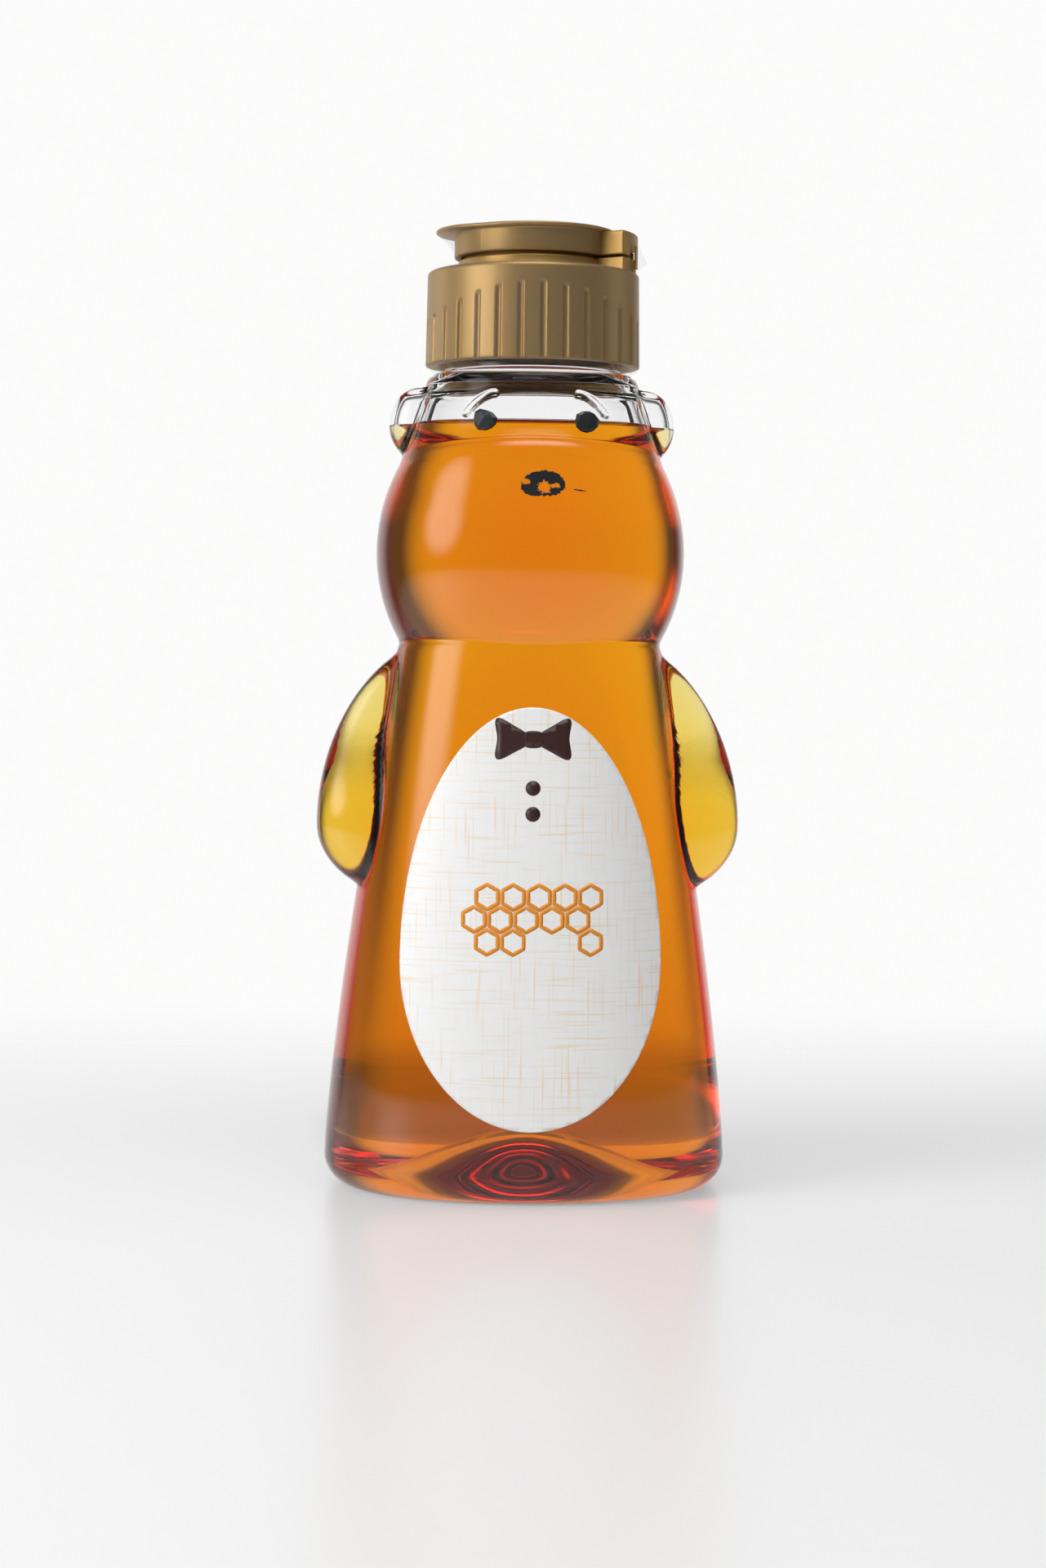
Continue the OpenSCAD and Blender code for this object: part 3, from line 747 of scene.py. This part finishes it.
stroke = wired(tree, "GeometryNodeCurvePrimitiveQuadrilateral", {
    "Width": comb_in.outputs["Stroke"], "Height": 0.008,
})
cell = wired(tree, "GeometryNodeCurveToMesh", {
    "Curve": path.outputs["Curve"], "Profile Curve": stroke.outputs["Curve"],
})
cells = wired(tree, "GeometryNodeInstanceOnPoints", {
    "Points": thinned.outputs["Geometry"], "Instance": cell.outputs["Mesh"],
})
end_of_tree(tree, comb_out, cells.outputs["Instances"], orange_ink)
comb = grown("honeycomb_print", tree, orange_ink, Missing=0.1, Seed=4)
comb_x, comb_z = -1.2, 55.5
for v in comb.data.vertices:
    v.co = Vector(front_point(v.co.x + comb_x, comb_z + v.co.y, ink_high + v.co.z)) * MM
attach(comb, "bottle")

# The cap liner: a ring of white foam that seals on the bottle's lip, under the cap's deck. It keeps
# the mesh of its solid and takes its finish here.
foam, _, _ = surface_material("white_foam", {"Base Color": (0.86, 0.86, 0.85, 1), "Roughness": 0.8})
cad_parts["cap_liner"].data.materials.clear()
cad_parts["cap_liner"].data.materials.append(foam)

# The screw threads: one rounded ridge wound round the neck, and one wound inside the collar,
# half a turn's climb away, so that the two slide past each other as the cap turns.
def turned_ridge(name, radius, bottom, turns, material):
    tree, ridge_in, ridge_out = node_tree(name, [
        ("Turns", "NodeSocketFloat", turns), ("Radius", "NodeSocketFloat", radius * MM),
        ("Pitch", "NodeSocketFloat", 4.233 * MM), ("Ridge", "NodeSocketFloat", 0.72 * MM),
    ])
    climb_all = calculate(tree, "MULTIPLY", ridge_in.outputs["Turns"], ridge_in.outputs["Pitch"])
    spiral = wired(tree, "GeometryNodeCurveSpiral", {
        "Resolution": 64, "Rotations": ridge_in.outputs["Turns"], "Start Radius": ridge_in.outputs["Radius"],
        "End Radius": ridge_in.outputs["Radius"], "Height": climb_all,
    })
    section = wired(tree, "GeometryNodeCurvePrimitiveCircle", {
        "Resolution": 10, "Radius": ridge_in.outputs["Ridge"],
    })
    sweep = wired(tree, "GeometryNodeCurveToMesh", {
        "Curve": spiral.outputs["Curve"], "Profile Curve": section.outputs["Curve"], "Fill Caps": True,
    })
    end_of_tree(tree, ridge_out, sweep.outputs["Mesh"], material)
    ridge = grown(name, tree, material, Turns=turns, Radius=radius * MM)
    first, later = ridge.data.vertices[0].co, ridge.data.vertices[40].co
    hand = 1 if first.x * later.y - first.y * later.x > 0 else -1
    for v in ridge.data.vertices:
        v.co = Vector((v.co.x, hand * v.co.y, v.co.z + bottom * MM))
    if hand < 0:
        ridge.data.flip_normals()
    return ridge


neck_thread = turned_ridge("neck_thread", 17.75, 167.0, 2.2, pet)
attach(neck_thread, "bottle")

# The cap: a gold-pigmented polypropylene moulding. Grip grooves run up its collar to an arched
# line; a deck ring, a snap ring and a pouring spout stand on top, and half of the lid's hinge.
gold, tree, shader = surface_material("gold_plastic", {"Metallic": 0.7})
place = wired(tree, "ShaderNodeTexCoord").outputs["Object"]
fleck = wired(tree, "ShaderNodeTexNoise", {"Vector": place, "Scale": 5200.0, "Detail": 2.0}).outputs["Fac"]
tone = wired(tree, "ShaderNodeMix", {
    "Factor": fleck, "A": (0.27, 0.155, 0.042, 1), "B": (0.49, 0.305, 0.095, 1),
}, data_type="RGBA")
rough = wired(tree, "ShaderNodeMapRange", {"Value": fleck, "To Min": 0.36, "To Max": 0.50})
tree.links.new(tone.outputs["Result"], shader.inputs["Base Color"])
tree.links.new(rough.outputs["Result"], shader.inputs["Roughness"])


def turned_piece(name, profile, count):
    """A body turned round the axis from a closed profile of (radius, height) in millimetres."""
    angles = np.linspace(0, 2 * math.pi, count, endpoint=False)
    rings = [ring_at(r, z, np.cos(angles), np.sin(angles)) for r, z in profile]
    return lofted(name, rings, closed=True)


collar_top_r, collar_low_r = 21.1, 21.4
wall_rows = [(mix(collar_low_r, collar_top_r, t / 56), mix(164.15, 181.7, t / 56)) for t in range(57)]
cap_profile = [(19.1, 163.9), (20.4, 163.9), (21.15, 163.9), (21.33, 163.97)] + wall_rows + [
    (21.0, 182.05), (20.8, 182.3), (20.5, 182.44), (20.1, 182.5), (15.5, 182.5), (15.15, 182.6),
    (15.0, 182.85), (15.0, 184.35), (14.93, 184.62), (14.75, 184.77), (14.5, 184.8), (14.16, 184.8),
    (14.1, 184.9), (14.1, 185.75), (14.0, 185.95), (13.8, 186.0), (13.2, 186.0), (12.97, 185.9),
    (12.9, 185.7), (12.9, 182.45), (12.7, 182.2), (6.4, 182.2), (6.0, 182.3), (5.7, 182.7), (5.1, 183.8),
    (4.5, 185.2), (4.0, 186.6), (3.75, 187.15), (3.4, 187.4), (2.4, 187.4), (2.1, 187.3), (2.0, 187.0),
    (2.0, 182.4), (2.3, 182.0), (4.8, 181.0), (19.1, 181.0), (19.1, 172.0),
]
collar = turned_piece("cap_moulding", cap_profile, 720)
tree, grip_in, grip_out = node_tree("grip_grooves", [
    ("Count", "NodeSocketFloat", 30.0), ("Phase", "NodeSocketFloat", 0.75),
    ("Half Width", "NodeSocketFloat", 0.66 * MM), ("Floor", "NodeSocketFloat", 0.22 * MM),
    ("Depth", "NodeSocketFloat", 0.55 * MM), ("Top", "NodeSocketFloat", 178.75 * MM),
    ("Arch", "NodeSocketFloat", 6.2 * MM),
])


def product(a, b):
    return calculate(tree, "MULTIPLY", a, b)


def difference(a, b):
    return calculate(tree, "SUBTRACT", a, b)


count, depth = grip_in.outputs["Count"], grip_in.outputs["Depth"]
spot = wired(tree, "GeometryNodeInputPosition").outputs["Position"]
px, py, pz = (wired(tree, "ShaderNodeSeparateXYZ", {"Vector": spot}).outputs[k] for k in "XYZ")
radius = calculate(tree, "SQRT", calculate(tree, "ADD", product(px, px), product(py, py)))
share_round = calculate(tree, "DIVIDE", calculate(tree, "ARCTAN2", py, px), 2 * math.pi)
steps_round = difference(product(share_round, count), grip_in.outputs["Phase"])
off_step = calculate(tree, "ABSOLUTE", difference(steps_round, calculate(tree, "ROUND", steps_round)))
off_groove = product(off_step, calculate(tree, "DIVIDE", product(radius, 2 * math.pi), count))
cosine = calculate(tree, "DIVIDE", px, radius)
groove_end = difference(grip_in.outputs["Top"], product(product(cosine, cosine), grip_in.outputs["Arch"]))
across_mask = smooth_step(tree, off_groove, grip_in.outputs["Half Width"], grip_in.outputs["Floor"])
up_mask = smooth_step(tree, difference(pz, groove_end), 0.0, -0.4 * MM)
on_wall = calculate(tree, "GREATER_THAN", radius, 20.9 * MM)
sink = product(product(across_mask, up_mask), product(on_wall, depth))
inward = wired(tree, "ShaderNodeCombineXYZ", {
    "X": calculate(tree, "DIVIDE", product(px, product(sink, -1.0)), radius),
    "Y": calculate(tree, "DIVIDE", product(py, product(sink, -1.0)), radius),
})
press = wired(tree, "GeometryNodeSetPosition", {
    "Geometry": grip_in.outputs["Geometry"], "Offset": inward.outputs["Vector"],
})
end_of_tree(tree, grip_out, press.outputs["Geometry"], gold)
cap = grown("cap_moulding", tree, gold, start=collar)
for face in cap.data.polygons:
    face.use_smooth = True
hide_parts("cap")
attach(cap, "cap")

cap_thread = turned_ridge("cap_thread", 19.15, 164.9, 2.6, gold)
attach(cap_thread, "cap")


def prism(name, outline, low, high, bevel):
    """An upright prism over an outline of (x, y), with its sharp edges rounded."""
    solid = bmesh.new()
    base = solid.faces.new([solid.verts.new((x * MM, y * MM, low * MM)) for x, y in outline])
    top = bmesh.ops.extrude_face_region(solid, geom=[base], use_keep_orig=True)["geom"]
    for v in top:
        if isinstance(v, bmesh.types.BMVert):
            v.co.z = high * MM
    bmesh.ops.recalc_face_normals(solid, faces=solid.faces)
    sharp = [e for e in solid.edges if len(e.link_faces) == 2 and e.calc_face_angle() > math.radians(30)]
    bmesh.ops.bevel(
        solid, geom=sharp, offset=bevel * MM, segments=3, profile=0.5, affect="EDGES", clamp_overlap=True
    )
    mesh = bpy.data.meshes.new(name)
    solid.to_mesh(mesh)
    solid.free()
    return placed(name, mesh, lambda face: False)


def arc(radius, start, stop, count):
    angles = [math.radians(mix(start, stop, k / count)) for k in range(count + 1)]
    return [(radius * math.cos(a), radius * math.sin(a)) for a in angles]


hinge_turn = 35
hinge_out, hinge_in = 20.8, 14.7
back_arc = arc(hinge_in, hinge_turn, -hinge_turn, 20)
lower_outline = (
    arc(hinge_out, -hinge_turn, -30, 4) + arc(20.4, -29.8, -20.2, 6) + arc(hinge_out, -20, -14.2, 4)
    + arc(19.2, -15.4, 15.4, 20) + arc(hinge_out, 14.2, 20, 4) + arc(20.4, 20.2, 29.8, 6)
    + arc(hinge_out, 30, hinge_turn, 4) + back_arc
)
hinge_low = prism("hinge_lower_half", lower_outline, 182.1, 184.8, 0.15)
hinge_low.data.materials.append(gold)
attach(hinge_low, "cap")

# The flip lid: a thin disc with a thumb lip on the left, a skirt that snaps over the ring, a plug
# pin for the spout, and the upper half of the hinge with its open window.
lid_count = 320
lid_turn = np.linspace(0, 2 * math.pi, lid_count, endpoint=False)
lip_middle, lip_radius = -6.5, 13.0
lip_chord = lip_middle * np.cos(lid_turn)
lip_edge = lip_chord + np.sqrt(np.maximum(0, lip_radius ** 2 - (lip_middle * np.sin(lid_turn)) ** 2))
disc_edge = soft_max(np.full(lid_count, 16.4), lip_edge, 0.8)
off_back = np.abs(np.degrees(lid_turn) % 360 - 180)
skirt_edge = 15.6 + 0.22 * np.clip((49 - off_back) / 1.2, 0, 1)


def lid_ring(radius, z):
    return ring_at(radius, z, np.cos(lid_turn), np.sin(lid_turn))


lid_top = 190.8
lid_rings = [lid_ring(disc_edge * s, lid_top) for s in (0.1, 0.3, 0.55, 0.8)]
lid_rings += [lid_ring(disc_edge - inset, z) for inset, z in (
    (0.45, lid_top), (0.2, 190.74), (0.05, 190.6), (0, 190.4), (0.05, 190.2), (0.25, 190.05),
)]
lid_rings.append(lid_ring(disc_edge * 0.5 + skirt_edge * 0.5, 189.92))
lid_rings += [lid_ring(skirt_edge + out, z) for out, z in (
    (0.15, 189.86), (0.03, 189.75), (0, 189.5), (0, 185.65), (-0.08, 185.42), (-0.3, 185.3),
)]
lid_rings += [lid_ring(*p) for p in (
    (14.65, 185.3), (14.45, 185.4), (14.4, 185.6), (14.4, 189.5), (14.1, 189.85), (8, 189.9), (2.2, 189.9),
    (1.85, 189.75), (1.75, 189.4), (1.75, 187.0), (1.6, 186.55), (1.2, 186.4),
)]
lid = lofted("flip_lid", lid_rings)
lid.data.materials.append(gold)
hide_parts("lid")
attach(lid, "lid")
upper_outline = arc(hinge_out, -hinge_turn, hinge_turn, 40) + back_arc
hinge_top = prism("hinge_upper_half", upper_outline, 185.3, 190.0, 0.3)
window = prism("window_cutter", [(18.6, -9.4), (24, -9.4), (24, 9.4), (18.6, 9.4)], 184, 187.7, 0.1)
opening = hinge_top.modifiers.new("window", "BOOLEAN")
opening.object = window
opening.solver = "EXACT"
hinge_top.update_tag()
carved = bpy.data.meshes.new_from_object(hinge_top.evaluated_get(bpy.context.evaluated_depsgraph_get()))
hinge_top.modifiers.clear()
hinge_top.data = carved
bpy.data.objects.remove(window)
hinge_top.data.materials.clear()
hinge_top.data.materials.append(gold)
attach(hinge_top, "lid")

# The hinge straps: two thin webs of gold plastic, moulded in one with the cap and the lid. They join the
# hinge's two halves.
def thin_sheet(name, rows, thick):
    """A closed sheet, as thick as given, that hangs inwards from a grid of outer points."""
    rows = np.asarray(rows, float)
    along = np.gradient(rows, axis=1)
    down = np.gradient(rows, axis=0)
    normal = np.cross(along, down)
    normal /= np.linalg.norm(normal, axis=2, keepdims=True) + 1e-9
    if (normal * rows * (1, 1, 0)).sum() < 0:
        normal = -normal
    height, width = rows.shape[:2]
    verts = np.concatenate([rows.reshape(-1, 3), (rows - thick * normal).reshape(-1, 3)])
    back = height * width
    faces = []
    for j in range(height - 1):
        for i in range(width - 1):
            a, b, c, d = j * width + i, j * width + i + 1, (j + 1) * width + i + 1, (j + 1) * width + i
            faces += [(a, b, c, d), (a + back, d + back, c + back, b + back)]
    rim = list(range(width)) + [j * width + width - 1 for j in range(1, height)]
    rim += [(height - 1) * width + i for i in range(width - 2, -1, -1)]
    rim += [j * width for j in range(height - 2, 0, -1)]
    for k, a in enumerate(rim):
        b = rim[(k + 1) % len(rim)]
        faces.append((a, a + back, b + back, b))
    return new_piece(name, verts, faces)


for side, node in ((-1, "hinge_strap_front"), (1, "hinge_strap_back")):
    first, last = sorted((side * 5.1, side * 7.0))
    rows = []
    for z in np.linspace(187.7, 183.1, 25):
        rows.append([(math.sqrt(21.1 ** 2 - y * y), y, z) for y in np.linspace(first, last, 6)])
    strap = thin_sheet(node + "_web", rows, 0.3)
    strap.data.materials.append(gold)
    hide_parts(node)
    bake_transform(strap)

# The shrink film: a clear tamper seal. The lower part grips the collar and turns in under it; the
# upper part is stretched from the lid's rim and thumb lip to the foot of its skirt.
film, _, _ = surface_material(
    "clear_film", {"Base Color": (0.30, 0.30, 0.30, 1), "Alpha": 0.06, "Roughness": 0.12, "IOR": 1.5}
)
low_path = [
    (20.95, 182.62), (21.12, 182.45), (21.25, 182.1), (21.29, 181.5), (21.36, 176), (21.44, 170),
    (21.53, 165), (21.56, 164.0), (21.45, 163.7), (21.2, 163.45), (20.8, 163.2), (20.3, 162.9),
    (19.9, 162.68), (19.7, 162.6),
]
for r, z in low_path[::-1]:
    low_path.append((r - 0.08, z - 0.02 if z < 163 else z + 0.1 if r < 21.3 and z < 165 else z))
lower_film = turned_piece("shrink_film_lower", low_path, 320)
lower_film.data.materials.append(film)
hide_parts("shrink_band_lower")
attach(lower_film, "cap")
tear_rows = []
for t in np.linspace(0, 1, 15):
    reach = 0.05 + 1.9 * min(t / 0.28, (1 - t) / 0.72)
    tear_rows.append([
        (20.5 + reach * u * 0.96, -5.0 - 0.5 * t - reach * 0.35 * u * u, 183.1 + 5.0 * t - 0.3 * u)
        for u in np.linspace(0, 1, 7)
    ])
tear = thin_sheet("shrink_film_tear", tear_rows, 0.06)
tear.data.materials.append(film)
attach(tear, "cap")
# The upper film ends on both sides of the hinge. Each row runs round the lid at one height.
around = np.radians(np.linspace(38, 322, 240))
film_lip = lip_middle * np.cos(around)
film_lip += np.sqrt(np.maximum(0, lip_radius ** 2 - (lip_middle * np.sin(around)) ** 2))
film_top = soft_max(np.full(240, 16.4), film_lip, 1.2) + 0.1
film_foot = np.full(240, 15.95)
film_rows = [(film_top - 1.2, 190.9), (film_top - 0.3, 190.9), (film_top - 0.05, 190.8), (film_top, 190.5)]
for t in np.linspace(0.03, 1, 16):
    bow = 0.22 * np.sin(math.pi * t) * np.maximum(0, film_top - film_foot)
    film_rows.append((mix(film_top, film_foot, t) - bow, mix(190.3, 185.5, t)))
film_rows += [(film_foot - 0.05, 185.3), (film_foot - 0.25, 185.2)]
upper_rows = [ring_at(r, z, np.cos(around), np.sin(around)) for r, z in film_rows]
upper_film = thin_sheet("shrink_film_upper", upper_rows, 0.06)
upper_film.data.materials.append(film)
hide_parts("shrink_band_upper")
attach(upper_film, "lid")
